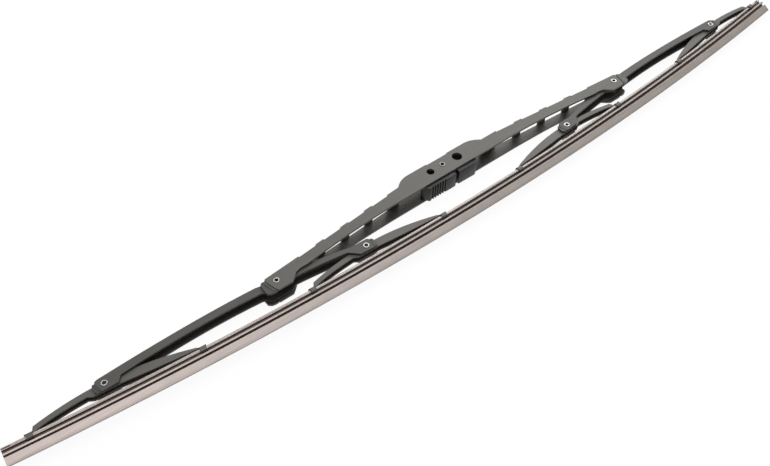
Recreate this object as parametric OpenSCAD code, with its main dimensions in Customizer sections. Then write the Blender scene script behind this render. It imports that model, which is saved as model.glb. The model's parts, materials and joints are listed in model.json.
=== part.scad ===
// Bracketed windscreen wiper blade: a vented steel bridge, two secondary yokes and four clawed
// tertiary yokes that carry a rubber wiping strip with two spring-steel rails. It lies on its side,
// as it comes to rest: +X along the blade, +Y from the wiping lip to the bridge's back, +Z up.
// The origin is on the axis of the larger side-pin hole, halfway between the two saddle ears.

/* [Linkage] */
// Distance between the two pivots at the ends of the primary bridge
bridge_span = 276.9; // [268:0.1:286]
// Height of the bridge's end pivots above the middle of the lip
bridge_pivot_h = 29.3; // [27.9:0.1:31]
// Distance from a bridge pivot out to the pivot of the outer clawed yoke
yoke_outer_arm = 105.5; // [98:0.1:112]
// Distance from a bridge pivot in to the pivot of the inner clawed yoke
yoke_inner_arm = 55.6; // [52:0.1:60]
// Distance from a clawed yoke's pivot to its outer claw
claw_outer_arm = 42; // [38:0.1:46]
// Distance from a clawed yoke's pivot to its inner claw
claw_inner_arm = 51.6; // [48:0.1:56]
// Height of a clawed yoke's pivot above the wiping lip
claw_pivot_h = 18.1; // [17.6:0.1:19.4]

/* [Wiping strip] */
// Length of the rubber strip past each outermost claw
strip_overhang = 14.8; // [9:0.2:24]
// Rise of the strip's ends towards the bridge as the blade lies free
strip_bow = 18; // [12:0.5:24]
// Thickness of the wiping lip
lip_t = 0.8; // [0.6:0.05:1.2]
// Height of the wedge that tapers down to the lip
wedge_h = 4.8; // [4.4:0.1:5.2]
// Width of the wedge at its shoulders
wedge_w = 4.4; // [3.6:0.1:5]
// Thickness of the neck that lets the wedge lean over
neck_t = 1.2; // [0.8:0.1:1.6]
// Height of the neck
neck_h = 1.2; // [0.8:0.05:1.3]
// Thickness of the bead between the neck and the claw groove
bead_h = 1.3; // [1.1:0.05:1.4]
// Width of the strip's head and bead
head_w = 6; // [5.6:0.1:6.2]
// Height of the groove that the claws hook into
groove_h = 1.8; // [1.6:0.05:2]
// Thickness of rubber left between the two claw grooves
groove_web_t = 3; // [2.6:0.1:3.1]
// Thickness of the rubber flange under the rails
flange_h = 0.5; // [0.4:0.05:0.7]
// Thickness of the rubber over the rails
cap_h = 0.5; // [0.4:0.05:0.7]
// How far each edge of that rubber lies inside the head's width
cap_inset = 0.05; // [0:0.05:0.4]

/* [Rails] */
// Width of each spring-steel rail
rail_w = 2.4; // [2:0.05:2.6]
// Thickness of each rail
rail_t = 0.74; // [0.6:0.02:0.9]
// How far a rail's edge stands out of its slot
rail_proud = 0.1; // [0:0.05:0.2]
// How far each rail stops short of the rubber's ends
rail_setback = 4.8; // [2:0.2:7]

/* [Claws] */
// Length of a claw's roof along the strip
claw_l = 4.6; // [3.8:0.1:5.2]
// Length of the two jaws under the roof
claw_jaw_l = 3.5; // [2.8:0.1:3.7]
// Thickness of the claw's metal
claw_t = 0.6; // [0.5:0.05:0.7]
// How far each jaw's tip reaches in under the head
claw_hook = 1.4; // [1.1:0.1:1.5]

/* [Clawed yokes] */
// Width over the two walls of a clawed yoke
claw_yoke_w = 4.6; // [4.2:0.1:4.8]
// Sheet thickness of the clawed yokes
claw_yoke_t = 0.8; // [0.6:0.05:0.9]

/* [Secondary yokes] */
// Width over the two walls of a secondary yoke
yoke_w = 8.3; // [8:0.05:8.5]
// Sheet thickness of the secondary yokes
yoke_t = 1; // [0.8:0.05:1.1]

/* [Primary bridge] */
// Width over the two walls of the bridge at its middle
bridge_w = 14; // [13.4:0.1:14.6]
// Width over the two walls at the bridge's narrower ends
bridge_end_w = 11.8; // [11.4:0.1:12.4]
// Distance from the middle to where the bridge starts to narrow
taper_from = 60; // [50:1:80]
// Sheet thickness of the bridge
bridge_t = 1.2; // [1:0.05:1.3]
// Height of the bridge's back over its lower edges at the middle
bridge_h = 9.5; // [9:0.1:11]
// Height of the bridge's lower edges above the bridge pivots at the middle
bridge_rise = 3; // [2.6:0.1:4.2]
// Height of the bridge's back above its end pivots
bridge_nose_h = 5; // [4.8:0.1:5.8]
// Distance from the middle to where the bridge's back starts to fall
bridge_level = 40; // [36:1:46]
// Number of vent windows in each arm
window_count = 4; // [2:1:4]
// Width of the ties between the windows
tie_w = 6; // [4:0.2:8]
// Distance from the middle to the first window of the left arm
windows_left = 50; // [46:0.5:56]
// Distance from the middle to the first window of the right arm
windows_right = 40; // [36:0.5:48]
// Length of the solid back between the last window and an end pivot
end_plate = 19.5; // [16:0.5:24]
// How far the windows cut down into the side walls
window_cut = 0.8; // [0.4:0.1:1]

/* [Saddle] */
// Distance of the saddle's rivet from the middle of the bridge, towards the near end
saddle_shift = 6.8; // [0:0.2:9]
// Length of the saddle's ears along their top edge
saddle_l = 52; // [46:1:56]
// Height of the ears' top edge above the rivet
saddle_h = 6.1; // [5.4:0.1:7]
// Height of the saddle's rivet above the bridge pivots
saddle_rivet_h = 10.8; // [10.4:0.1:11.6]
// Diameter of the larger side-pin hole
pin_large_d = 6.5; // [6:0.05:7]
// Diameter of the smaller side-pin hole
pin_small_d = 4.9; // [4.4:0.05:5.2]
// Distance from the rivet to the larger side-pin hole
pin_large_gap = 11.85; // [10.8:0.05:13]
// Distance from the rivet to the smaller side-pin hole
pin_small_gap = 9.9; // [9:0.1:11]
// Depth of the side-pin holes' axes below the rivet's axis
pin_drop = 0.35; // [0:0.05:0.8]
// Depth of the shallow step in the ears' top edge over the rivet
saddle_step = 0.6; // [0.2:0.1:1]

/* [Rivets and bushes] */
// Diameter of every hollow rivet's shank
rivet_d = 3; // [2.6:0.1:3.1]
// Bore through every hollow rivet
rivet_bore = 2; // [1.6:0.1:2.2]
// Diameter of the rivets' rolled rims
rivet_head_d = 3.7; // [3.5:0.1:4.2]
// Height of the rolled rims
rivet_head_h = 0.35; // [0.25:0.05:0.4]
// Depth of the flush countersunk heads on the lower side
rivet_sink = 0.35; // [0.2:0.05:0.5]
// Wall thickness of the bushes' sleeves
bush_wall = 0.5; // [0.35:0.05:0.6]
// Diameter of the bushes' flanges
bush_flange_d = 5.6; // [5.4:0.1:5.8]
// How far a bush's lip stands out past the bridge's end
bridge_lip = 3.8; // [3:0.1:4.4]
// How far a bush's lip stands out past a secondary yoke's end
yoke_lip = 1.9; // [1.4:0.1:2.4]
// Radial gap of a turning pivot
pivot_gap = 0.05; // [0.02:0.01:0.08]
// Sideways gap of a turning pivot
side_gap = 0.1; // [0.06:0.01:0.15]

/* [Arm connector] */
// Length of the connector's grip block, from the rivet outwards
grip_l = 22; // [19:0.5:23]
// Length of the connector's hook block, from the rivet outwards
hook_l = 21; // [18:0.5:22]
// Width of the connector
connector_w = 10.8; // [9.6:0.1:11.2]
// Depth of the connector below the rivet
connector_drop = 10.4; // [9.6:0.1:10.8]
// Distance from the rivet to the notch between the connector's two blocks
connector_notch = 3.9; // [2:0.1:5]
// Wall thickness of the sleeves behind the side-pin holes
sleeve_t = 1; // [0.8:0.05:1.2]
// Number of grip grooves in the connector
rib_count = 6; // [0:1:8]

/* [Hidden] */

steel_colour = [0.36, 0.35, 0.34];
rivet_colour = [0.85, 0.85, 0.84];
rail_colour = [0.86, 0.83, 0.82];
rubber_colour = [0.74, 0.69, 0.67];
plastic_colour = [0.08, 0.08, 0.09];

// The strip lies on a circle, so a place on it is an angle about the circle's centre.
claw_reach = bridge_span / 2 + yoke_outer_arm + claw_outer_arm;
strip_half = claw_reach + strip_overhang;
bow_r = (strip_half * strip_half + strip_bow * strip_bow) / (2 * strip_bow);
strip_angle = 2 * asin(strip_half / bow_r);
arc_fn = 900;

// Levels of the rubber section above the lip
neck_v = wedge_h;
bead_v = neck_v + neck_h;
groove_v = bead_v + bead_h;
flange_v = groove_v + groove_h;
slot_gap = 0.03;
slot_v = flange_v + flange_h;
slot_h = rail_t + 2 * slot_gap;
cap_v = slot_v + slot_h;
strip_h = cap_v + cap_h;
cap_w = head_w - 2 * cap_inset;
rail_out = head_w / 2 + rail_proud;
rail_in = rail_out - rail_w;

// Claw levels: the roof clears the cap, the hooks lie in the groove
claw_gap = 0.15;
claw_in = rail_out + claw_gap;
claw_out = claw_in + claw_t;
claw_roof_v = strip_h + claw_gap;
claw_top_v = claw_roof_v + claw_t;
claw_hook_v = flange_v - claw_gap;

// Half widths across the blade, from the walls' sheet thicknesses
claw_yoke_half = claw_yoke_w / 2;
yoke_half = yoke_w / 2;
bridge_half = bridge_w / 2;
bridge_end_half = bridge_end_w / 2;
yoke_inside = yoke_half - yoke_t;
bridge_inside = bridge_half - bridge_t;
bridge_end_inside = bridge_end_half - bridge_t;

rivet_r = rivet_d / 2;
rivet_fit = 0.02;    // radial play of a rivet where it is set into metal or a bush
bush_in = rivet_r + rivet_fit;
bush_out = bush_in + bush_wall;
bore_r = bush_out + pivot_gap;
claw_ear_r = bore_r + 0.65;
yoke_ear_r = bore_r + 1.1;
past = 1;            // overrun of a cut past the metal that it removes

// Slanted ends of the walls, outwards and upwards from the pivot: upper corner, lower corner
bridge_end_top = [5.5, 3.6];
bridge_end_low = [3.4, -6.2];
yoke_end_top = [4.4, 2.6];
yoke_end_low = [3.3, -3.4];
lip_gap = 0.05;      // play between a wall's slanted end and the bush's lip
web_stop = 1.6;      // the webs end this far inside the walls' upper corners

// Pivot places in the frame with x = 0 at the middle of the blade and y = 0 at the lip there
yoke_x = bridge_span / 2;
outer_x = yoke_x + yoke_outer_arm;
inner_x = yoke_x - yoke_inner_arm;
function on_bow(x, v) = asin(x / (bow_r - v));
function bow_y(x, v) = bow_r - (bow_r - v) * cos(on_bow(x, v));
outer_y = bow_y(outer_x, claw_pivot_h);
inner_y = bow_y(inner_x, claw_pivot_h);
outer_pivot = [-yoke_outer_arm, outer_y - bridge_pivot_h];
inner_pivot = [yoke_inner_arm, inner_y - bridge_pivot_h];

// Bridge levels in the same frame
edge_y = bridge_pivot_h + bridge_rise;
back_y = edge_y + bridge_h;
rivet_x = -saddle_shift;
rivet_y = bridge_pivot_h + saddle_rivet_h;
ear_y = rivet_y + saddle_h;
pin_y = rivet_y - pin_drop;
pin_large_x = rivet_x + pin_large_gap;
pin_small_x = rivet_x - pin_small_gap;
ear_half = saddle_l / 2;
ear_slope = 8;                       // run of the ears' sloping ends
saddle_half = ear_half + ear_slope;
bridge_end = yoke_x + bridge_end_top[0];
bridge_slope = (back_y - bridge_pivot_h - bridge_nose_h) / (yoke_x - bridge_level);
function back_at(x) = back_y - bridge_slope * max(0, abs(x) - bridge_level);

function lerp(a, b, t) = a + (b - a) * t;
// Points of a parabola from a to c that is pulled towards b
function curve(a, b, c, n = 10) = [for (i = [0 : n]) let (t = i / n)
    (1 - t) * (1 - t) * a + 2 * t * (1 - t) * b + t * t * c];
// Points of a circle's arc
function arc(c, r, a0, a1, n = 6) = [for (i = [0 : n]) let (a = lerp(a0, a1, i / n))
    c + r * [cos(a), sin(a)]];
function shift(points, d) = [for (p = points) p + d];
function backwards(points) = [for (i = [len(points) - 1 : -1 : 0]) points[i]];
function mirrored(points) = [for (p = points) [-p[0], p[1]]];

// Moves what is drawn about the blade's middle to the origin at the larger side-pin hole.
module in_frame() translate([-pin_large_x, -pin_y, 0]) children();
// Draws the child at a bridge pivot, mirrored on the right side, which is +1.
module at_yoke(side) in_frame() translate([side * yoke_x, bridge_pivot_h, 0])
    mirror([side > 0 ? 1 : 0, 0, 0]) children();
// Turns the child about the bow's centre, so that it stands on the strip there.
module on_strip(angle) translate([0, bow_r, 0]) rotate([0, 0, angle]) translate([0, -bow_r, 0])
    children();
module plate(points, from, to) translate([0, 0, from]) linear_extrude(to - from) polygon(points);
// Both walls and the hollow of a channel are cut from its side outline.
module slab(points, half) linear_extrude(2 * half, center = true) polygon(points);
// What lies inside an outline seen from the back, given as points along and across the blade
module upright(outline) translate([0, ear_y + past, 0]) rotate([90, 0, 0])
    linear_extrude(ear_y + 2 * past) polygon(outline);
module cross_hole(at, r, half) translate([at[0], at[1], 0])
    cylinder(r = r, h = 2 * half, center = true, $fn = 48);
// Hole for a rivet through walls that reach out to half, countersunk on the lower side
module rivet_hole(at, half) {
    cross_hole(at, rivet_r + rivet_fit, half + past);
    translate([at[0], at[1], -half - past])
        cylinder(r1 = rivet_r + rivet_fit + rivet_sink + past, r2 = rivet_r + rivet_fit,
                 h = rivet_sink + past, $fn = 48);
}

// A hollow rivet through walls that reach out to half: rolled rim above, flush head below
module hollow_rivet(half) {
    bottom = -half + rivet_fit;
    rim = rivet_head_d / 2 - rivet_head_h / 2;
    color(rivet_colour)
    rotate_extrude($fn = 48) {
        polygon([[rivet_bore / 2, bottom], [rivet_r + rivet_sink, bottom],
                 [rivet_r, bottom + rivet_sink], [rivet_r, half], [rim, half],
                 [rim, half + rivet_head_h], [rivet_bore / 2 + 0.3, half + rivet_head_h],
                 [rivet_bore / 2, half + rivet_head_h / 2]]);
        translate([rim, half + rivet_head_h / 2]) circle(d = rivet_head_h, $fn = 16);
    }
}

// Outline of a bush's lip beyond a wall's slanted end, whose corners are top and low
function lip_outline(top, low, reach) = let (span = top[1] - low[1], edge = top[0] + reach)
    [top, top + [0.5 * reach, 0.2], top + [0.87 * reach, -0.1 * span], [edge, top[1] - span / 2],
     [edge, low[1] + 0.2 * span], low + [1.1 * reach, 0.05 * span], low + [0.6 * reach, 0], low];

// A pair of bushes set on a rivet, one inside each wall of the carrier, whose end is towards +X.
// Each has a sleeve for the turning part's bore, a flange and a lip that closes the wall's end.
module bush_pair(turning_half, turning_t, carrier_half, carrier_t, end_top, end_low, reach) {
    flange_z = turning_half + side_gap;
    wall_z = carrier_half - carrier_t;
    lip = shift(lip_outline(end_top, end_low, reach), [lip_gap, 0]);
    bar = [lip[0] + [0.1 * reach, -0.5], lip[0] + [0.46 * reach, -0.3],
           lip[7] + [0.5 * reach, 0.5], lip[7] + [0.14 * reach, 0.7]];
    color(plastic_colour)
    for (s = [-1, 1]) mirror([0, 0, s < 0 ? 1 : 0]) {
        difference() {
            union() {
                translate([0, 0, turning_half - turning_t])
                    cylinder(r = bush_out, h = turning_t + side_gap, $fn = 48);
                translate([0, 0, flange_z]) cylinder(d = bush_flange_d, h = wall_z - flange_z, $fn = 48);
                plate(concat([[0, bush_flange_d / 2]], lip, [[0, -bush_flange_d / 2]]), flange_z, wall_z);
            }
            translate([0, 0, turning_half - turning_t - past])
                cylinder(r = bush_in, h = carrier_half, $fn = 48);
        }
        plate(lip, wall_z, carrier_half - 0.3);
        plate(bar, wall_z, carrier_half);
    }
}

// Section of a claw: a roof over the head and a jaw bent in under it on each side
bend_r = claw_t + 0.2;
function claw_half() = concat(
    [[claw_in, claw_roof_v], [claw_in, claw_hook_v], [claw_in - claw_hook, claw_hook_v],
     [claw_in - claw_hook, claw_hook_v - claw_t]],
    arc([claw_out - bend_r, claw_hook_v - claw_t + bend_r], bend_r, -90, 0, 4),
    arc([claw_out - bend_r, claw_top_v - bend_r], bend_r, 0, 90, 4));

// One claw: its jaws are shorter than its roof
module claw() difference() {
    translate([-claw_l / 2, 0, 0]) rotate([0, 90, 0]) mirror([1, 0, 0])
        linear_extrude(claw_l) polygon(concat(claw_half(), backwards(mirrored(claw_half()))));
    for (s = [-1, 1]) translate([s * (claw_jaw_l / 2 + past) - past, 0, -claw_out - past])
        cube([2 * past, claw_roof_v, 2 * (claw_out + past)]);
}

// How far the bowed strip stands over its tangent at a distance u
function rise(u) = u * u / (2 * bow_r);
outer_claw_v = claw_top_v + rise(claw_outer_arm);
inner_claw_v = claw_top_v + rise(claw_inner_arm);
claw_back_v = claw_pivot_h + 2.1;    // the back's highest level, a little inwards of the pivot
claw_back_u = 2;
outer_neck = [-claw_outer_arm + claw_l / 2 + 0.8, outer_claw_v + 3];
inner_neck = [claw_inner_arm - claw_l / 2 - 0.6, inner_claw_v + 1.4];

// Side outline of a clawed yoke between its claws, about its pivot's foot on the lip line
function claw_yoke_back() = concat(
    [[-claw_outer_arm + 0.6, outer_claw_v - claw_t / 2], [-claw_outer_arm + claw_l / 2 - 0.4, outer_claw_v + 0.3],
     [-claw_outer_arm + claw_l / 2, outer_claw_v + 1.4]],
    curve(outer_neck, [(outer_neck[0] + claw_back_u) / 2, claw_back_v], [claw_back_u, claw_back_v]),
    curve([claw_back_u + 3, claw_back_v], [(inner_neck[0] + claw_back_u) / 2, claw_back_v], inner_neck),
    [[claw_inner_arm - claw_l / 2 + 1, inner_claw_v + 0.5], [claw_inner_arm - 0.6, inner_claw_v - claw_t / 2]]);
function claw_yoke_belly() = concat(
    [[claw_inner_arm - claw_l / 2 + 0.4, inner_claw_v - claw_t / 2]],
    curve([claw_inner_arm - claw_l / 2 - 1, inner_claw_v + 0.3], [claw_inner_arm - 21.6, claw_pivot_h - 5.1],
          [8.6, claw_pivot_h - 3.4]),
    [[7, claw_pivot_h - 3.3], [-7.4, claw_pivot_h - 3.3]],
    curve([-10.4, claw_pivot_h - 1.8], [-claw_outer_arm + 11, claw_pivot_h - 3.3],
          [-claw_outer_arm + claw_l / 2 + 1, outer_claw_v - 0.1]),
    [[-claw_outer_arm + claw_l / 2 - 0.2, outer_claw_v - claw_t / 2]]);

// Clawed yoke with its outer claw towards -X. Its claws stand square on the bowed strip.
module clawed_yoke_body(mid) {
    back = claw_yoke_back();
    inside = claw_yoke_half - claw_yoke_t;
    on_strip(mid)
    difference() {
        union() {
            slab(concat(back, claw_yoke_belly()), claw_yoke_half);
            cross_hole([0, claw_pivot_h], claw_ear_r, claw_yoke_half);
        }
        slab(concat(shift(back, [0, -claw_yoke_t]), [[claw_inner_arm, 0], [-claw_outer_arm, 0]]), inside);
        // the back is open over the pivot
        translate([-5.4, claw_pivot_h - 5, -inside]) cube([10.8, 10, 2 * inside]);
        cross_hole([0, claw_pivot_h], bore_r, claw_yoke_half + past);
    }
    on_strip(mid - asin(claw_outer_arm / (bow_r - claw_roof_v))) claw();
    on_strip(mid + asin(claw_inner_arm / (bow_r - claw_roof_v))) claw();
}

// Places at a secondary yoke's two ends, outwards and upwards from the pivot there
function at_outer(p) = outer_pivot + [-p[0], p[1]];
function at_inner(p) = inner_pivot + p;

// Side outline of a secondary yoke about its bridge pivot, with the long arm towards -X
function yoke_back() = concat(
    [at_outer(yoke_end_top), at_outer([3.5, 3.7])],
    curve(at_outer([2, 4.1]), [-yoke_outer_arm * 0.47, outer_pivot[1] + 6], [-11.5, 3.9]),
    [[-7.5, 2.9], [7.5, 1.6]],
    curve([9.5, 1.3], [yoke_inner_arm * 0.58, -0.9], at_inner([-7, 4.4])),
    [at_inner([2.6, 4]), at_inner([3.6, 3.7]), at_inner(yoke_end_top)]);
function yoke_belly() = concat(
    [at_inner(yoke_end_low), at_inner([2.7, -3.7]), at_inner([-6.2, -3]), at_inner([-8.8, -0.4])],
    curve(at_inner([-11.6, 2.3]), [yoke_inner_arm * 0.54, -4.9], [11, -2.9]),
    [[7.5, -4.9], [-5.4, -4.9], [-9.2, -1.9]],
    curve([-10.8, -1.2], [-yoke_outer_arm * 0.47, 2.7], at_outer([-9, -0.7])),
    [at_outer([-6.2, -3.8]), at_outer([2.6, -3.7]), at_outer(yoke_end_low)]);

module secondary_yoke() {
    back = yoke_back();
    web_end = yoke_end_top[0] - web_stop;
    clear = 10;                      // reach of a cut past a yoke's ends
    color(steel_colour)
    difference() {
        union() {
            slab(concat(back, yoke_belly()), yoke_half);
            cross_hole([0, 0], yoke_ear_r, yoke_half);
        }
        slab(concat([at_outer([clear, -yoke_t])], shift(back, [0, -yoke_t]),
             [at_inner([clear, 1]), at_inner([clear, -3 * clear]), at_outer([clear, -3 * clear])]), yoke_inside);
        // the back is open over the bridge pivot and at both ends
        translate([-6, -clear, -yoke_inside]) cube([12, 2 * clear, 2 * yoke_inside]);
        for (p = [at_outer([web_end + clear, -clear]), at_inner([web_end, -clear])])
            translate([p[0], p[1], -yoke_inside]) cube([clear, 2 * clear, 2 * yoke_inside]);
        cross_hole([0, 0], bore_r, yoke_half + past);
        rivet_hole(outer_pivot, yoke_half);
        rivet_hole(inner_pivot, yoke_half);
    }
}

// The windows share what an arm has between its first window and its end plate.
function window_start(side) = side < 0 ? windows_left : windows_right;
function window_l(side) = (yoke_x - end_plate - window_start(side) + tie_w) / window_count - tie_w;
function window(side, i, depth) = let (
        a = side * (window_start(side) + i * (window_l(side) + tie_w)), b = a + side * window_l(side),
        lo = min(a, b), hi = max(a, b))
    [[lo, back_at(lo) - depth], [hi, back_at(hi) - depth], [hi, back_at(hi) + past], [lo, back_at(lo) + past]];

// Lower edge of the bridge from the middle out to the lobe that holds the end pivot
belly_from = 45;
function belly_right() = let (p = [yoke_x, bridge_pivot_h], arch_end = p + [-20, -1.2]) concat(
    curve([belly_from, edge_y], [(belly_from + arch_end[0]) / 2, edge_y], arch_end),
    [p + [-15.8, -1], p + [-12.1, -1.9], p + [-8.7, -4.9]],
    arc(p + [-6.2, -4.3], 2, 215, 270, 3),
    arc(p + bridge_end_low + [-1.5, 1.4], 1.5, 270, 350, 4));
function nose_right() = [
    [yoke_x + bridge_end_top[0], bridge_pivot_h + bridge_end_top[1]],
    [bridge_end - 0.3, back_at(bridge_end) - 0.5], [bridge_end - 1, back_at(bridge_end)],
    [bridge_level, back_y]];
function bridge_back() = concat(mirrored(nose_right()), backwards(nose_right()));
// Outline of the bridge seen from its back: it narrows towards the ends
function bridge_plan(half, end_half) = let (
        side = [[bridge_end + 2 * past, end_half], [yoke_x - 12, end_half], [taper_from, half]],
        far = concat(side, backwards(mirrored(side))))
    concat(far, backwards([for (p = far) [p[0], -p[1]]]));
// Outline of the ears that rise over the back at the saddle
function ear_outline() = concat(
    [[rivet_x - saddle_half, edge_y + 2], [rivet_x - saddle_half, back_y - 0.2]],
    curve([rivet_x - saddle_half + 0.6, back_y + 0.4], [rivet_x - ear_half - 3, ear_y],
          [rivet_x - ear_half + 3, ear_y], 6),
    [[rivet_x - 8.8, ear_y], [rivet_x - 7.6, ear_y - saddle_step],
     [rivet_x + 7.6, ear_y - saddle_step], [rivet_x + 8.8, ear_y]],
    curve([rivet_x + ear_half - 3, ear_y], [rivet_x + ear_half + 2.5, ear_y],
          [rivet_x + saddle_half, back_y], 6),
    [[rivet_x + saddle_half, edge_y + 2]]);

module primary_bridge() {
    hollow = shift(bridge_back(), [0, -bridge_t]);
    low = bridge_pivot_h - 4;
    over = bridge_end + past;
    color(steel_colour)
    in_frame()
    difference() {
        intersection() {
            union() {
                slab(concat(bridge_back(), backwards(belly_right()), mirrored(belly_right())), bridge_w);
                slab(ear_outline(), bridge_w);
            }
            upright(bridge_plan(bridge_half, bridge_end_half));
        }
        intersection() {
            union() {
                slab(concat([[-over, low]], hollow, [[over, low], [over, 0], [-over, 0]]), bridge_w);
                // the back ends just past each end pivot, so the walls alone make the nose
                for (s = [-1, 1]) translate([s * (bridge_end - web_stop + 5) - 5, low, -bridge_w])
                    cube([10, 20, 2 * bridge_w]);
                // open saddle between the ears
                translate([rivet_x - saddle_half, 0, -bridge_w]) cube([2 * saddle_half, ear_y + past, 2 * bridge_w]);
                for (s = [-1, 1], i = [0 : window_count - 1])
                    slab(window(s, i, bridge_t + past), bridge_w);
            }
            upright(bridge_plan(bridge_inside, bridge_end_inside));
        }
        for (s = [-1, 1], i = [0 : window_count - 1]) slab(window(s, i, window_cut), bridge_w);
        cross_hole([pin_large_x, pin_y], pin_large_d / 2, bridge_half + past);
        cross_hole([pin_small_x, pin_y], pin_small_d / 2, bridge_half + past);
        rivet_hole([rivet_x, rivet_y], bridge_half);
        for (s = [-1, 1]) rivet_hole([s * yoke_x, bridge_pivot_h], bridge_end_half);
    }
}

// Side outline of the connector about the saddle's rivet, clockwise from the grip's upper end
connector_top = -4.4;
function connector_outline() = let (
        low = -connector_drop, boss = rivet_r + pivot_gap + 1.8, step = 2, grip_in = -grip_l + 5)
    concat([[-grip_l, connector_top - 1.2], [-grip_l + 1.4, connector_top], [-5.4, connector_top]],
        arc([0, 0], boss, 215, -35, 12),
        [[5.4, connector_top]],
        arc([hook_l - 2, connector_top - 2], 2, 90, 0, 5),
        arc([hook_l - 2.8, low + 2.8], 2.8, 0, -90, 5),
        [[connector_notch + 1.6, low + 0.2], [connector_notch + 1.2, low + 3.6],
         [connector_notch - 1.2, low + 3.6], [connector_notch - 1.2, low]],
        [for (i = [rib_count - 1 : -1 : 0], p = [[1.3, 0], [1.3, 0.7], [0, 0.7], [0, 0]])
            [grip_in + i * step + p[0], low + p[1]]],
        [[grip_in - 1.5, low]]);

// Moulded connector that the wiper arm's hook closes round, turning on the saddle's rivet.
// A sleeve on a post carries each side-pin hole on between the ears.
module arm_connector() {
    half = connector_w / 2;
    pins = [[-pin_small_gap, pin_small_d / 2], [pin_large_gap, pin_large_d / 2]];
    color(plastic_colour)
    in_frame() translate([rivet_x, rivet_y, 0])
    difference() {
        union() {
            slab(connector_outline(), half);
            for (p = pins) {
                cross_hole([p[0], -pin_drop], p[1] + sleeve_t, half);
                translate([p[0] - p[1] - sleeve_t, connector_top - past, -half])
                    cube([2 * (p[1] + sleeve_t), past - connector_top - pin_drop, 2 * half]);
            }
        }
        for (p = pins) cross_hole([p[0], -pin_drop], p[1], half + past);
        cross_hole([0, 0], rivet_r + pivot_gap, half + past);
    }
}

module centre_rivet() in_frame() translate([rivet_x, rivet_y, 0]) hollow_rivet(bridge_half);
module bridge_rivet(side) at_yoke(side) hollow_rivet(bridge_end_half);
module yoke(side) at_yoke(side) secondary_yoke();
module yoke_bushes(side) at_yoke(side) mirror([1, 0, 0])
    bush_pair(yoke_half, yoke_t, bridge_end_half, bridge_t, bridge_end_top, bridge_end_low, bridge_lip);

// The clawed yokes are numbered from the left: outer, inner, inner, outer.
function yoke_side(i) = i <= 2 ? -1 : 1;
function clawed_x(i) = (i == 1 || i == 4) ? outer_x : inner_x;
module at_clawed(i) in_frame() mirror([yoke_side(i) > 0 ? 1 : 0, 0, 0]) children();
module clawed_yoke(i) color(steel_colour) at_clawed(i)
    clawed_yoke_body(-on_bow(clawed_x(i), claw_pivot_h));
// Draws the child at the secondary yoke's end that carries a clawed yoke, with +X outwards.
module at_claw_pivot(i) at_yoke(yoke_side(i))
    if (i == 1 || i == 4) translate([outer_pivot[0], outer_pivot[1], 0]) mirror([1, 0, 0]) children();
    else translate([inner_pivot[0], inner_pivot[1], 0]) children();
module yoke_rivet(i) at_claw_pivot(i) hollow_rivet(yoke_half);
module claw_bushes(i) at_claw_pivot(i)
    bush_pair(claw_yoke_half, claw_yoke_t, yoke_half, yoke_t, yoke_end_top, yoke_end_low, yoke_lip);

// Sweeps a section along the bow, from points given as half width and height above the lip.
module along_bow(section, angle) in_frame() translate([0, bow_r, 0]) rotate([0, 0, -90 - angle / 2])
    rotate_extrude(angle = angle, $fn = arc_fn) polygon([for (p = section) [bow_r - p[1], p[0]]]);

function strip_section() = let (half = [
    [lip_t / 2, 0], [wedge_w / 2, wedge_h - 0.5], [wedge_w / 2, neck_v], [neck_t / 2, neck_v],
    [neck_t / 2, bead_v], [head_w / 2, bead_v], [head_w / 2, groove_v], [groove_web_t / 2, groove_v],
    [groove_web_t / 2, flange_v], [head_w / 2, flange_v], [head_w / 2, slot_v], [rail_in - slot_gap, slot_v],
    [rail_in - slot_gap, cap_v], [cap_w / 2, cap_v], [cap_w / 2, strip_h]])
    concat(half, [for (i = [len(half) - 1 : -1 : 0]) [-half[i][0], half[i][1]]]);

module wiping_strip() color(rubber_colour) along_bow(strip_section(), strip_angle);
module rail(side) {
    a = side * rail_in;
    b = side * rail_out;
    lo = slot_v + slot_gap;
    color(rail_colour)
    along_bow([[a, lo], [b, lo], [b, lo + rail_t], [a, lo + rail_t]],
              strip_angle - 2 * asin(rail_setback / bow_r));
}

primary_bridge();
centre_rivet();
arm_connector();
bridge_rivet(-1);  // bridge_rivet_left
bridge_rivet(1);  // bridge_rivet_right
yoke(-1);  // secondary_yoke_left
yoke(1);  // secondary_yoke_right
yoke_bushes(-1);  // secondary_bushes_left
yoke_bushes(1);  // secondary_bushes_right
yoke_rivet(1);  // yoke_rivet_1
yoke_rivet(2);  // yoke_rivet_2
yoke_rivet(3);  // yoke_rivet_3
yoke_rivet(4);  // yoke_rivet_4
clawed_yoke(1);  // clawed_yoke_1
clawed_yoke(2);  // clawed_yoke_2
clawed_yoke(3);  // clawed_yoke_3
clawed_yoke(4);  // clawed_yoke_4
claw_bushes(1);  // yoke_bushes_1
claw_bushes(2);  // yoke_bushes_2
claw_bushes(3);  // yoke_bushes_3
claw_bushes(4);  // yoke_bushes_4
wiping_strip();
rail(1);  // rail_upper
rail(-1);  // rail_lower
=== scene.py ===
"""Looks of a bracketed wiper blade: materials, strip, rails, connector, rivets, lights and camera."""
import json
import math

import bmesh
import bpy
from mathutils import Matrix, Vector


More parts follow.
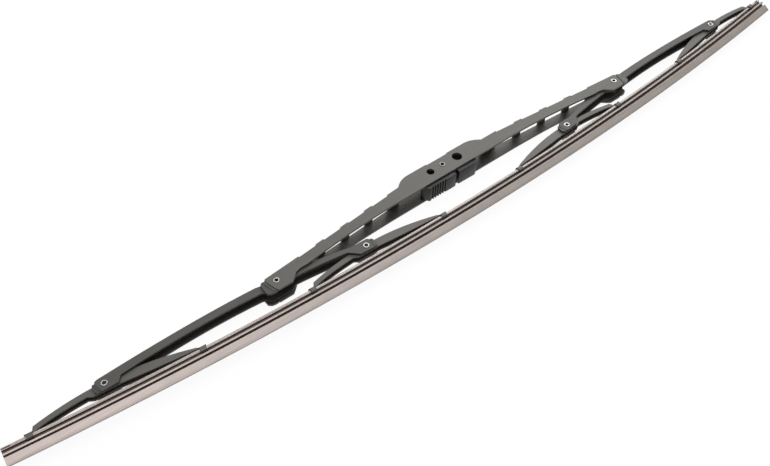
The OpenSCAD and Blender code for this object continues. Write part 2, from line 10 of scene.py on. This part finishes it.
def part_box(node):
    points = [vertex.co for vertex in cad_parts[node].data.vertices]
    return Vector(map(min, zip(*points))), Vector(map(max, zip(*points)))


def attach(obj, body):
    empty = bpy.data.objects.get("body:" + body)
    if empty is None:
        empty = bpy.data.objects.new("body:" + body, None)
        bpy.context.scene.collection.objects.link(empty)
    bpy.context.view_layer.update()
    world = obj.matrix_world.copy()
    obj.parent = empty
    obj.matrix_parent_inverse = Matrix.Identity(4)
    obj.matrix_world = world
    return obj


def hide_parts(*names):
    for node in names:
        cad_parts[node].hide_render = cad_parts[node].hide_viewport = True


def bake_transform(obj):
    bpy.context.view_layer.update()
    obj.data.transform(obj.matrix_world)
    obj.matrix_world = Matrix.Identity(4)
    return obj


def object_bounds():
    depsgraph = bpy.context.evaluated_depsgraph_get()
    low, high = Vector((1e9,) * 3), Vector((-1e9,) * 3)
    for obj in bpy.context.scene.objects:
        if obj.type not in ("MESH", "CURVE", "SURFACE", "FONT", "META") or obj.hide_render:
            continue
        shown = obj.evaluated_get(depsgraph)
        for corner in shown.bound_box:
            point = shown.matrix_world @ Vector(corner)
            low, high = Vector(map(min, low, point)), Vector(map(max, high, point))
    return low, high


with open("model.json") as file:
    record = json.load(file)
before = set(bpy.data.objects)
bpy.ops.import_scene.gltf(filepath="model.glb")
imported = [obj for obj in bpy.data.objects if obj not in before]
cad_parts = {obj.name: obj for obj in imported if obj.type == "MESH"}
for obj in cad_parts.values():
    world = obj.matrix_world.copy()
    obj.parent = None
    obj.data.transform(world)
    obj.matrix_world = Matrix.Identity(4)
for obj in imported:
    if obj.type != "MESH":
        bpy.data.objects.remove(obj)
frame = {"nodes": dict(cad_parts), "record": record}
nodes = frame["nodes"]
MM = 0.001
CREASE = 0.6                    # radians; an edge that turns further stays crisp


def corners(box):
    """A box's two corners as plain lists."""
    return [[float(v) for v in corner] for corner in box]


def in_scene(name, data):
    """A new object of this data, in the scene and at the origin."""
    made = bpy.data.objects.new(name, data)
    bpy.context.scene.collection.objects.link(made)
    return made


cad_bounds = corners(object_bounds())

# ---------------------------------------------------------------- sizes of the blade, in mm
BOW_ORIGIN = (5.05, 39.75)      # the row frame's origin, seen from the middle of the lip
REACH = 285.95                  # middle of the blade to an outermost claw
OVERHANG = 14.8                 # of the strip past that claw
BOW = 18.0                      # rise of the strip's ends over its middle
HALF = REACH + OVERHANG
BOW_R = (HALF ** 2 + BOW ** 2) / (2 * BOW)
RAIL_SETBACK = 4.8              # from a strip's end to its rails' ends
TIP_SHIFT = 1.2                 # the strip sits this far towards the left in its claws
NECK_TOP = 6.0                  # what hangs below this height leans over
PIVOT_V = 18.1                  # height of the clawed yokes' pivots over the lip
GRIP_V = 11.05                  # height of the claws' grip over the lip
OUTER_X, INNER_X = 243.95, 82.85    # the clawed yokes' pivots, from the middle of the blade
LONG_ARM, SHORT_ARM = 51.6, 42.0    # a clawed yoke's arms, the long one towards the middle
LEAN_LEFT, LEAN_RIGHT = math.radians(13.0), math.radians(-11.5)


# ---------------------------------------------------------------- shader maths
class Socket:
    """An output socket; arithmetic on it adds Math nodes."""

    def __init__(self, graph, end):
        self.graph, self.end = graph, end

    def _math(self, operation, first, second):
        return self.graph.math(operation, first, second)

    def __add__(self, other):
        return self._math("ADD", self, other)

    def __radd__(self, other):
        return self._math("ADD", other, self)

    def __sub__(self, other):
        return self._math("SUBTRACT", self, other)

    def __rsub__(self, other):
        return self._math("SUBTRACT", other, self)

    def __mul__(self, other):
        return self._math("MULTIPLY", self, other)

    def __rmul__(self, other):
        return self._math("MULTIPLY", other, self)

    def __truediv__(self, other):
        return self._math("DIVIDE", self, other)


class Graph:
    """A node tree and the one method that adds to it."""

    def __init__(self, tree):
        self.tree = tree
        tree.nodes.clear()

    def add(self, kind, settings=None, values=(), out=0):
        """Adds a node, sets it up, then fills its sockets by place or name."""
        node = self.tree.nodes.new(kind)
        for key, value in (settings or {}).items():
            if key == "stops":
                ramp = node.color_ramp
                while len(ramp.elements) < len(value):
                    ramp.elements.new(1.0)
                for element, (place, colour) in zip(ramp.elements, value):
                    element.position = place
                    element.color = colour
            else:
                setattr(node, key, value)
        pairs = values.items() if isinstance(values, dict) else enumerate(values)
        for key, value in pairs:
            if isinstance(value, Socket):
                self.tree.links.new(value.end, node.inputs[key])
            elif value is not None:
                node.inputs[key].default_value = value
        return Socket(self, node.outputs[out]) if len(node.outputs) else None

    def math(self, operation, *values):
        """A Math node on numbers or sockets."""
        return self.add("ShaderNodeMath", {"operation": operation}, list(values))

    def parts(self, vector):
        """The three parts of a vector."""
        first = self.add("ShaderNodeSeparateXYZ", None, [vector])
        return [Socket(self, end) for end in first.end.node.outputs]

    def noise(self, vector, scale, detail=2.0, roughness=0.5):
        return self.add("ShaderNodeTexNoise", None,
                        {"Vector": vector, "Scale": scale, "Detail": detail, "Roughness": roughness})

    def stretched(self, vector, scale):
        return self.add("ShaderNodeMapping", None, {"Vector": vector, "Scale": scale})

    def ramp(self, factor, low, high, dark=0.0, light=1.0):
        """Turns low..high of a factor into dark..light, held at both ends."""
        return self.add("ShaderNodeMapRange", {"clamp": True},
                        {"Value": factor, "From Min": low, "From Max": high,
                         "To Min": dark, "To Max": light})

    def mix(self, factor, first, second):
        return self.add("ShaderNodeMix", {"data_type": "RGBA"},
                        {0: factor, 6: first, 7: second}, out=2)


def rgb(red, green, blue):
    return (red, green, blue, 1.0)


def material(name, build, constants):
    """A Principled material: constants on its own sockets, what varies from build."""
    made = bpy.data.materials.new(name)
    made.use_nodes = True
    graph = Graph(made.node_tree)
    place = graph.add("ShaderNodeTexCoord", None, (), out=3)
    values = dict(constants)
    values.update(build(graph, place))
    shader = graph.add("ShaderNodeBsdfPrincipled", None, values)
    graph.add("ShaderNodeOutputMaterial", None, {"Surface": shader})
    return made


def bump(graph, height, distance, strength=1.0, normal=None):
    return graph.add("ShaderNodeBump", None,
                     {"Height": height, "Distance": distance, "Strength": strength, "Normal": normal})


def paint_look(*tones):
    """Satin powder coat: fine grain, cloudy gloss, a little dust, and edges that the coat eases."""
    def look(graph, place):
        grain = graph.noise(place, 1900.0, 2.0)
        cloud = graph.noise(place, 55.0, 3.0)
        scuff = graph.noise(graph.stretched(place, (60.0, 600.0, 600.0)), 1.0, 3.0)
        dust = graph.ramp(cloud * 0.6 + scuff * 0.4, 0.45, 0.7)
        eased = graph.add("ShaderNodeBevel", {"samples": 6}, {"Radius": 0.0003})
        return {"Base Color": graph.mix(dust, *tones),
                "Roughness": graph.ramp(cloud * 0.7 + grain * 0.3, 0.3, 0.7, 0.46, 0.56),
                "Normal": bump(graph, grain, 0.00005, 0.4, eased)}
    return look


def plated_look(light, dark):
    """Plated steel with faint tarnish between two tones."""
    def look(graph, place):
        cloud = graph.noise(place, 700.0, 3.0)
        return {"Base Color": graph.mix(graph.ramp(cloud, 0.35, 0.7), light, dark),
                "Roughness": graph.ramp(cloud, 0.3, 0.7, 0.3, 0.42),
                "Normal": bump(graph, cloud, 0.00006, 0.4)}
    return look


def rail_look(graph, place):
    """Drawn spring steel: fine lines along its length."""
    lines = graph.noise(graph.stretched(place, (25.0, 5200.0, 5200.0)), 1.0, 3.0)
    cloud = graph.noise(place, 30.0, 2.0)
    return {"Base Color": graph.mix(graph.ramp(cloud * 0.5 + lines * 0.5, 0.35, 0.65),
                                    rgb(0.43, 0.395, 0.37), rgb(0.33, 0.30, 0.28)),
            "Roughness": graph.ramp(lines, 0.3, 0.7, 0.42, 0.54),
            "Normal": bump(graph, lines, 0.00004, 0.5)}


def rubber_look(graph, place):
    """Graphite-dusted rubber, light on its outer faces, with painted shade in dark brown down in its
    grooves and a painted reflection that makes it lighter and pinker towards the left end.
    """
    level = graph.add("ShaderNodeAttribute", {"attribute_name": "level"}, (), out=2)
    across = graph.add("ShaderNodeAttribute", {"attribute_name": "across"}, (), out=2)
    across = graph.math("ABSOLUTE", across)
    # Neck, groove and rail slot, within the section's outer faces, take a dark brown: painted shade in
    # the recesses.
    neck = graph.ramp(level, 4.74, 4.8) * graph.ramp(level, 6.12, 6.2, 1.0, 0.0)
    groove = graph.ramp(level, 7.2, 7.28) * graph.ramp(level, 9.13, 9.2, 1.0, 0.0)
    slot = graph.ramp(level, 9.58, 9.64) * graph.ramp(level, 10.36, 10.42, 1.0, 0.0)
    recess_shade = (neck + groove + slot) * graph.ramp(across, 2.82, 2.98, 1.0, 0.0)
    streak = graph.noise(graph.stretched(place, (14.0, 900.0, 900.0)), 1.0, 3.0)
    cloud = graph.noise(place, 90.0, 3.0)
    blotch = graph.ramp(streak * 0.65 + cloud * 0.35, 0.35, 0.65)
    x, y, z = graph.parts(place)
    # Lighter and pinker from the middle towards the left end: a painted reflection of the lamps on the
    # glossy rubber.
    painted_reflection_fade = graph.ramp(x + (cloud - 0.5) * 0.06, -0.28, 0.0)
    light = graph.mix(painted_reflection_fade, rgb(0.53, 0.445, 0.415), rgb(0.315, 0.283, 0.255))
    deep = graph.mix(painted_reflection_fade, rgb(0.45, 0.37, 0.345), rgb(0.255, 0.227, 0.204))
    lip = graph.ramp(level, 0.6, 1.7, 0.32, 0.0)
    outside = graph.mix(lip, graph.mix(blotch, light, deep), rgb(0.17, 0.15, 0.14))
    return {"Base Color": graph.mix(recess_shade, outside, rgb(0.080, 0.056, 0.046)),
            "Roughness": graph.ramp(streak, 0.3, 0.7, 0.42, 0.55),
            "Normal": bump(graph, streak, 0.00005, 0.4)}


def plastic_look(graph, place):
    """Moulded black plastic with a fine spark-eroded grain."""
    grain = graph.noise(place, 2600.0, 2.0)
    cloud = graph.noise(place, 160.0, 2.0)
    return {"Base Color": graph.mix(graph.ramp(cloud, 0.4, 0.7),
                                    rgb(0.006, 0.0058, 0.0055), rgb(0.011, 0.0105, 0.010)),
            "Roughness": graph.ramp(grain * 0.5 + cloud * 0.5, 0.35, 0.65, 0.4, 0.55),
            "Normal": bump(graph, grain, 0.00005, 0.5)}


def bush_look(graph, place):
    """Dark nylon that has picked up a grey sheen."""
    grain = graph.noise(place, 2300.0, 2.0)
    cloud = graph.noise(place, 300.0, 2.0)
    return {"Base Color": graph.mix(graph.ramp(cloud, 0.35, 0.7),
                                    rgb(0.03, 0.029, 0.027), rgb(0.044, 0.042, 0.039)),
            "Roughness": graph.ramp(grain * 0.5 + cloud * 0.5, 0.35, 0.65, 0.38, 0.5),
            "Normal": bump(graph, grain, 0.00005, 0.4)}


PAINT = material("satin_black_paint", paint_look(rgb(0.073, 0.068, 0.060), rgb(0.090, 0.084, 0.075)),
                 {"Specular IOR Level": 0.5})
# The yokes get the bridge's satin paint made darker: painted shade, for yokes that sit lower and under
# the bridge.
SHADED_YOKE_PAINT = material("satin_paint_painted_shade",
                      paint_look(rgb(0.050, 0.047, 0.042), rgb(0.064, 0.060, 0.054)),
                      {"Specular IOR Level": 0.45})
BRIGHT = material("plated_steel", plated_look(rgb(0.46, 0.45, 0.44), rgb(0.33, 0.32, 0.31)),
                  {"Metallic": 1.0})
DULL = material("blackened_steel", plated_look(rgb(0.20, 0.195, 0.185), rgb(0.14, 0.135, 0.13)),
                {"Metallic": 1.0})
RAIL = material("spring_steel", rail_look, {"Metallic": 1.0})
RUBBER = material("graphite_rubber", rubber_look, {"Specular IOR Level": 0.6})
PLASTIC = material("black_plastic", plastic_look, {"Specular IOR Level": 0.45})
BUSH = material("grey_nylon", bush_look, {"Specular IOR Level": 0.5})

FINISH = {"bridge_steel": PAINT, "yoke_steel": SHADED_YOKE_PAINT, "claw_steel": PAINT,
          "rivet_steel": BRIGHT, "rail_steel": RAIL, "strip_rubber": RUBBER,
          "bush_plastic": BUSH, "connector_plastic": PLASTIC}
for part in frame["record"]["subparts"]:
    target = nodes[part["node"]]
    target.data.materials.clear()
    target.data.materials.append(FINISH[part["material_slot"]])


# ---------------------------------------------------------------- outlines
def rounded(corners_in, radius, steps=3):
    """A closed outline with each corner rounded, by no more than its edges allow."""
    made = []
    count = len(corners_in)
    for i, here in enumerate(corners_in):
        here = Vector(here)
        before, after = Vector(corners_in[i - 1]) - here, Vector(corners_in[(i + 1) % count]) - here
        cut = min(radius, 0.42 * before.length, 0.42 * after.length)
        start, end = here + before.normalized() * cut, here + after.normalized() * cut
        for k in range(steps + 1):
            t = k / steps
            made.append(start * (1 - t) ** 2 + here * 2 * t * (1 - t) + end * t ** 2)
    return made


def outline_object(name, outline):
    """A closed flat curve that a tree takes as its section."""
    curve = bpy.data.curves.new(name, "CURVE")
    curve.dimensions = "3D"
    spline = curve.splines.new("POLY")
    spline.points.add(len(outline) - 1)
    for point, place in zip(spline.points, outline):
        point.co = (place[0], place[1], 0, 1)
    spline.use_cyclic_u = True
    return in_scene(name, curve)


def both_sides(half):
    """A section from its points at one side, as width across and height over the lip."""
    return half + [(-w, v) for w, v in reversed(half)]


# ---------------------------------------------------------------- geometry trees
def tree_of(name, inputs):
    """A geometry tree with named inputs, its graph and a way to its input sockets."""
    tree = bpy.data.node_groups.new(name, "GeometryNodeTree")
    for title, kind in inputs:
        tree.interface.new_socket(title, in_out="INPUT", socket_type="NodeSocket" + kind)
    tree.interface.new_socket("Geometry", in_out="OUTPUT", socket_type="NodeSocketGeometry")
    graph = Graph(tree)
    source = tree.nodes.new("NodeGroupInput")
    return tree, graph, lambda title: Socket(graph, source.outputs[title])


def creased(graph, mesh):
    """Smooth faces with edges kept crisp where they turn by more than a limit."""
    smooth = graph.add("GeometryNodeSetShadeSmooth", {"domain": "FACE"},
                       {"Geometry": mesh, "Shade Smooth": True})
    sharp = graph.math("GREATER_THAN", graph.add("GeometryNodeInputMeshEdgeAngle"), CREASE)
    return graph.add("GeometryNodeSetShadeSmooth", {"domain": "EDGE"},
                     {"Geometry": smooth, "Selection": sharp, "Shade Smooth": False})


def finish_tree(graph, mesh, coat):
    """Real geometry with its material, at the tree's output."""
    real = graph.add("GeometryNodeRealizeInstances", None, [mesh])
    dressed = graph.add("GeometryNodeSetMaterial", None, {"Geometry": real, "Material": coat})
    graph.add("NodeGroupOutput", None, [dressed])


def along_bow_tree():
    """A section drawn along the strip's bow. What hangs below the neck leans over bit by bit."""
    tree, graph, given = tree_of("along_bow", [
        ("Section", "Object"), ("From", "Float"), ("To", "Float"), ("Rings", "Int"),
        ("Bow radius", "Float"), ("Half length", "Float"), ("Neck", "Float"),
        ("Lean left", "Float"), ("Lean right", "Float"),
        ("Origin", "Vector"), ("Material", "Material")])
    start = graph.add("ShaderNodeCombineXYZ", None, {"X": given("To")})
    end = graph.add("ShaderNodeCombineXYZ", None, {"X": given("From")})
    line = graph.add("GeometryNodeCurvePrimitiveLine", None, {"Start": start, "End": end})
    line = graph.add("GeometryNodeResampleCurve", None, {"Curve": line, "Count": given("Rings")})
    line = graph.add("GeometryNodeSetCurveNormal", {"mode": "Z_UP"}, {"Curve": line})
    section = graph.add("GeometryNodeObjectInfo", None, {"Object": given("Section")}, out=4)
    swept = graph.add("GeometryNodeCurveToMesh", None,
                      {"Curve": line, "Profile Curve": section, "Fill Caps": True})
    place = graph.add("GeometryNodeInputPosition")
    x, y, z = graph.parts(place)
    share = (x + given("Half length")) / (given("Half length") * 2.0)
    lean = given("Lean left") * (1.0 - share) + given("Lean right") * share
    lean = lean * graph.math("LESS_THAN", y, given("Neck") - 0.01)
    below = given("Neck") - y
    across = z * graph.math("COSINE", lean) + below * graph.math("SINE", lean)
    level = given("Neck") - below * graph.math("COSINE", lean) + z * graph.math("SINE", lean)
    for name, value in (("level", y), ("across", z)):
        swept = graph.add("GeometryNodeStoreNamedAttribute", {"data_type": "FLOAT", "domain": "POINT"},
                          {"Geometry": swept, "Name": name, "Value": value})
    turn = x / given("Bow radius")
    arm = given("Bow radius") - level
    bowed = graph.add("ShaderNodeCombineXYZ", None, {
        "X": arm * graph.math("SINE", turn),
        "Y": given("Bow radius") - arm * graph.math("COSINE", turn),
        "Z": across})
    moved = graph.add("ShaderNodeVectorMath", {"operation": "SUBTRACT"}, [bowed, given("Origin")])
    metres = graph.add("ShaderNodeVectorMath", {"operation": "SCALE"}, {"Vector": moved, "Scale": MM})
    placed = graph.add("GeometryNodeSetPosition", None, {"Geometry": swept, "Position": metres})
    finish_tree(graph, creased(graph, placed), given("Material"))
    return tree


def lathe_tree():
    """A section turned about Z and stood on each point of a carrier."""
    tree, graph, given = tree_of("turned", [
        ("Section", "Object"), ("Places", "Object"), ("Ring radius", "Float"), ("Sides", "Int"),
        ("Material", "Material")])
    ring = graph.add("GeometryNodeCurvePrimitiveCircle", None,
                     {"Resolution": given("Sides"), "Radius": given("Ring radius")})
    ring = graph.add("GeometryNodeSetCurveNormal", {"mode": "Z_UP"}, {"Curve": ring})
    section = graph.add("GeometryNodeObjectInfo", None, {"Object": given("Section")}, out=4)
    turned = graph.add("GeometryNodeCurveToMesh", None, {"Curve": ring, "Profile Curve": section})
    places = graph.add("GeometryNodeObjectInfo", None, {"Object": given("Places")}, out=4)
    stood = graph.add("GeometryNodeInstanceOnPoints", None,
                      {"Points": places, "Instance": creased(graph, turned)})
    finish_tree(graph, stood, given("Material"))
    return tree


def grown(name, tree, values, coat):
    """Runs a tree on an empty mesh and keeps the result as a plain mesh object."""
    carrier = in_scene(name + "_maker", bpy.data.meshes.new(name + "_maker"))
    modifier = carrier.modifiers.new("shape", "NODES")
    modifier.node_group = tree
    for item in tree.interface.items_tree:
        if item.in_out == "INPUT":
            modifier[item.identifier] = coat if item.name == "Material" else values[item.name]
    shaped = carrier.evaluated_get(bpy.context.evaluated_depsgraph_get())
    mesh = bpy.data.meshes.new_from_object(shaped)
    bpy.data.objects.remove(carrier)
    return in_scene(name, mesh)


# ---------------------------------------------------------------- wiping strip and rails
STRIP_SECTION = both_sides([
    (0.4, 0.0), (1.3, 2.2), (2.2, 4.2), (2.2, 4.75), (0.6, 4.75), (0.6, 6.1),
    (3.0, 6.1), (3.0, 7.3), (1.5, 7.3), (1.5, 9.1), (3.0, 9.1), (3.0, 9.6),
    (0.67, 9.6), (0.67, 10.4), (2.95, 10.4), (2.95, 10.9)])
RAIL_SECTION = [(0.7, 9.63), (3.1, 9.63), (3.1, 10.37), (0.7, 10.37)]


def bow_angle(pivot_x, arm):
    """Angle along the bow of a claw that stands an arm's length from a clawed yoke's pivot."""
    reach = math.copysign(math.asin(abs(arm) / (BOW_R - GRIP_V)), arm)
    return math.asin(pivot_x / (BOW_R - PIVOT_V)) + reach


# Places along the bow: the claws that bound a run, the strip's end, and where the runs change carrier.
HOLDS = [bow_angle(INNER_X, -LONG_ARM) * BOW_R, bow_angle(INNER_X, SHORT_ARM) * BOW_R,
         bow_angle(OUTER_X, -LONG_ARM) * BOW_R]
END = math.asin(HALF / BOW_R) * BOW_R
MIDWAY = (HOLDS[1] + HOLDS[2]) / 2
JAW = 1.75                      # half a claw's jaws, which keep the strip straight
FREE = HOLDS[0] - JAW           # from the middle to where the innermost claw lets go
TURN = 0.72 * FREE              # up to here a run is listed under the bridge and the yoke, then under the yoke and the claws
RUNS = [(0.0, TURN, ("bridge", "yoke")), (TURN, FREE, ("yoke", "inner")),
        (FREE, HOLDS[1] + JAW, ("inner",)), (HOLDS[1] + JAW, MIDWAY, ("inner", "yoke")),
        (MIDWAY, HOLDS[2] - JAW, ("yoke", "outer")), (HOLDS[2] - JAW, END, ("outer",))]
BODIES = {-1: {"bridge": "bridge", "yoke": "yoke_left", "inner": "claws_2", "outer": "claws_1"},
          1: {"bridge": "bridge", "yoke": "yoke_right", "inner": "claws_3", "outer": "claws_4"}}


def on_bow(s, v):
    """The row frame's place of a point of the strip, in metres."""
    turn = s / BOW_R
    return Vector(((BOW_R - v) * math.sin(turn) - BOW_ORIGIN[0],
                   BOW_R - (BOW_R - v) * math.cos(turn) - BOW_ORIGIN[1], 0)) * MM


STRIP_EASE, RAIL_EASE = 0.22, 0.12      # radii of the sections' corners
RING_GAP = 2.5                          # from one ring of a run's mesh to the next
BLEND_V = 8.0                           # height over the lip of the points that on_bow works out at the ends of a run with two carriers
bow_tree = along_bow_tree()
sections = {
    "wiping_strip": outline_object(
        "strip_section", rounded([(v, w) for w, v in reversed(STRIP_SECTION)], STRIP_EASE)),
    "rail_upper": outline_object(
        "rail_upper_section", rounded([(v, w) for w, v in reversed(RAIL_SECTION)], RAIL_EASE)),
    "rail_lower": outline_object(
        "rail_lower_section", rounded([(v, -w) for w, v in RAIL_SECTION], RAIL_EASE))}
for node, section in sections.items():
    rail = node != "wiping_strip"
    for side in (-1, 1):
        for number, (near, far, carriers) in enumerate(RUNS):
            stop = far if far < END else far - side * TIP_SHIFT - (RAIL_SETBACK if rail else 0.0)
            low, high = sorted((side * near, side * stop))
            piece = grown("%s_%s_run_%d" % (node, "left" if side < 0 else "right", number), bow_tree, {
                "Section": section, "From": low, "To": high,
                "Rings": max(4, int((high - low) / RING_GAP)), "Bow radius": BOW_R, "Half length": END, "Neck": NECK_TOP, "Lean left": LEAN_LEFT,
                "Lean right": LEAN_RIGHT, "Origin": (BOW_ORIGIN[0], BOW_ORIGIN[1], 0.0)},
                RAIL if rail else RUBBER)
            bodies = [BODIES[side][name] for name in carriers]
            if len(bodies) == 1:
                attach(piece, bodies[0])
            else:
                on_bow(side * near, BLEND_V)
                on_bow(side * stop, BLEND_V)
                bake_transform(piece)
            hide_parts(node)
for section in sections.values():
    bpy.data.objects.remove(section)


# ---------------------------------------------------------------- moulded connector
def eased_copy(node, name, radius):
    """A node's shape with its edges rounded, as a mould leaves them, and smooth round faces."""
    shape = bmesh.new()
    shape.from_mesh(nodes[node].data)
    bmesh.ops.remove_doubles(shape, verts=shape.verts[:], dist=0.00001)
    bmesh.ops.dissolve_limit(shape, angle_limit=math.radians(1.0),
                             verts=shape.verts[:], edges=shape.edges[:])
    mesh = bpy.data.meshes.new(name)
    shape.to_mesh(mesh)
    shape.free()
    made = in_scene(name, mesh)
    ease = made.modifiers.new("eased_edges", "BEVEL")
    ease.width = radius
    ease.segments = 2
    ease.limit_method = "ANGLE"
    ease.angle_limit = math.radians(40)
    ease.use_clamp_overlap = True
    plain = bpy.data.meshes.new_from_object(made.evaluated_get(bpy.context.evaluated_depsgraph_get()))
    made.modifiers.clear()
    made.data = plain
    plain.shade_smooth()
    plain.set_sharp_from_angle(angle=CREASE)
    return made


connector = eased_copy("arm_connector", "connector_moulding", 0.35 * MM)
connector.data.materials.clear()
connector.data.materials.append(PLASTIC)
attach(connector, "connector")
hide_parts("arm_connector")

# ---------------------------------------------------------------- hollow rivets
def rivet_outline(bottom, top):
    """A hollow rivet's wall, from its rolled lower rim to its flared head, as radius and height."""
    head = top - 0.35
    return [(1.1, bottom + 0.1), (1.2, bottom), (1.85, bottom), (1.5, bottom + 0.35),
            (1.5, head - 0.05), (1.79, head), (1.8, head + 0.18), (1.66, top - 0.04),
            (1.5, top - 0.04), (1.2, head + 0.02), (1.1, head - 0.25)]


RIVETS = {"bridge": ["centre_rivet", "bridge_rivet_left", "bridge_rivet_right"],
          "yoke_left": ["yoke_rivet_1", "yoke_rivet_2"], "yoke_right": ["yoke_rivet_3", "yoke_rivet_4"]}
turned = lathe_tree()
RING = 1.4 * MM                 # radius of the circle that the outline is drawn round
RIM_EASE = 0.16
for body, names in RIVETS.items():
    for name in names:
        low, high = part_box(name)
        middle = [(a + b) / 2 for a, b in zip(low, high)]
        top, bottom = (high[2] - middle[2]) / MM, (low[2] - middle[2]) / MM
        section = outline_object(name + "_section", [
            (r * MM - RING, z * MM) for r, z in rounded(rivet_outline(bottom, top), RIM_EASE)])
        spot = in_scene(name + "_place", bpy.data.meshes.new(name + "_place"))
        spot.data.from_pydata([middle], [], [])
        piece = grown(name + "_turned", turned,
                      {"Section": section, "Places": spot, "Ring radius": RING, "Sides": 48},
                      DULL if name == "centre_rivet" else BRIGHT)
        bpy.data.objects.remove(section)
        bpy.data.objects.remove(spot)
        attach(piece, body)
        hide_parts(name)

# ---------------------------------------------------------------- floor, lights and world
FLOOR_WHITE = 0.94              # share of the floor that camera and gloss see as plain white
SKY_LIGHT, SKY_SEEN = 0.4, 0.6  # the world's light, and what the camera sees on top of it
bpy.ops.mesh.primitive_plane_add(size=8.0, location=(0, 0, cad_bounds[0][2]))
floor = bpy.context.object
floor.name = "studio_floor"
paper = bpy.data.materials.new("white_paper")
paper.use_nodes = True
sheet = Graph(paper.node_tree)
seen = sheet.add("ShaderNodeLightPath", None, (), out=0)
gloss = sheet.add("ShaderNodeLightPath", None, (), out=3)
matt = sheet.add("ShaderNodeBsdfDiffuse", None, {"Color": rgb(0.86, 0.86, 0.86)})
glow = sheet.add("ShaderNodeEmission", None, {"Color": rgb(1, 1, 1), "Strength": 1.0})
paper_mix = sheet.add("ShaderNodeMixShader", None,
                      {0: sheet.math("MAXIMUM", seen, gloss) * FLOOR_WHITE, 1: matt, 2: glow})
sheet.add("ShaderNodeOutputMaterial", None, {"Surface": paper_mix})
floor.data.materials.append(paper)

world = bpy.data.worlds.new("studio")
bpy.context.scene.world = world
world.use_nodes = True
sky = Graph(world.node_tree)
strength = sky.add("ShaderNodeLightPath", None, (), out=0) * SKY_SEEN + SKY_LIGHT
backdrop = sky.add("ShaderNodeBackground", None, {"Color": rgb(1, 1, 1), "Strength": strength})
sky.add("ShaderNodeOutputWorld", None, {"Surface": backdrop})


def softbox(name, azimuth, elevation, distance, size, power):
    """A square lamp aimed at the blade's middle. Azimuth is from +Y towards +X."""
    a, e = math.radians(azimuth), math.radians(elevation)
    way = Vector((math.sin(a) * math.cos(e), math.cos(a) * math.cos(e), math.sin(e)))
    lamp = bpy.data.lights.new(name, "AREA")
    lamp.shape = "RECTANGLE"
    lamp.size, lamp.size_y = size
    lamp.energy = power
    holder = in_scene(name, lamp)
    holder.location = way * distance
    holder.rotation_euler = way.to_track_quat("Z", "Y").to_euler()


softbox("key", 55, 42, 1.2, (0.8, 0.8), 7.6)
softbox("overhead", -60, 84, 1.5, (1.1, 1.1), 15)

# ---------------------------------------------------------------- camera, fitted to the photograph
YAW, PITCH, ROLL = 0.6939, 0.8486, 0.0171
CAMERA_AT = Vector((-299.92 - BOW_ORIGIN[0], -258.11 - BOW_ORIGIN[1], 415.01)) * MM
FOCAL_PX, WIDTH_PX = 942.43, 770
ahead = Vector((math.sin(YAW) * math.cos(PITCH), math.cos(YAW) * math.cos(PITCH), -math.sin(PITCH)))
right = Vector((math.cos(YAW), -math.sin(YAW), 0))
up = right.cross(ahead)
right, up = (right * math.cos(ROLL) + up * math.sin(ROLL), up * math.cos(ROLL) - right * math.sin(ROLL))
lens = bpy.data.cameras.new("photo_camera")
lens.sensor_width = 36.0
lens.lens = 36.0 * FOCAL_PX / WIDTH_PX
lens.clip_start = 0.01
camera = in_scene("photo_camera", lens)
camera.matrix_world = Matrix.Translation(CAMERA_AT) @ Matrix((right, up, -ahead)).transposed().to_4x4()
bpy.context.scene.camera = camera
bpy.context.scene.view_settings.view_transform = "Standard"
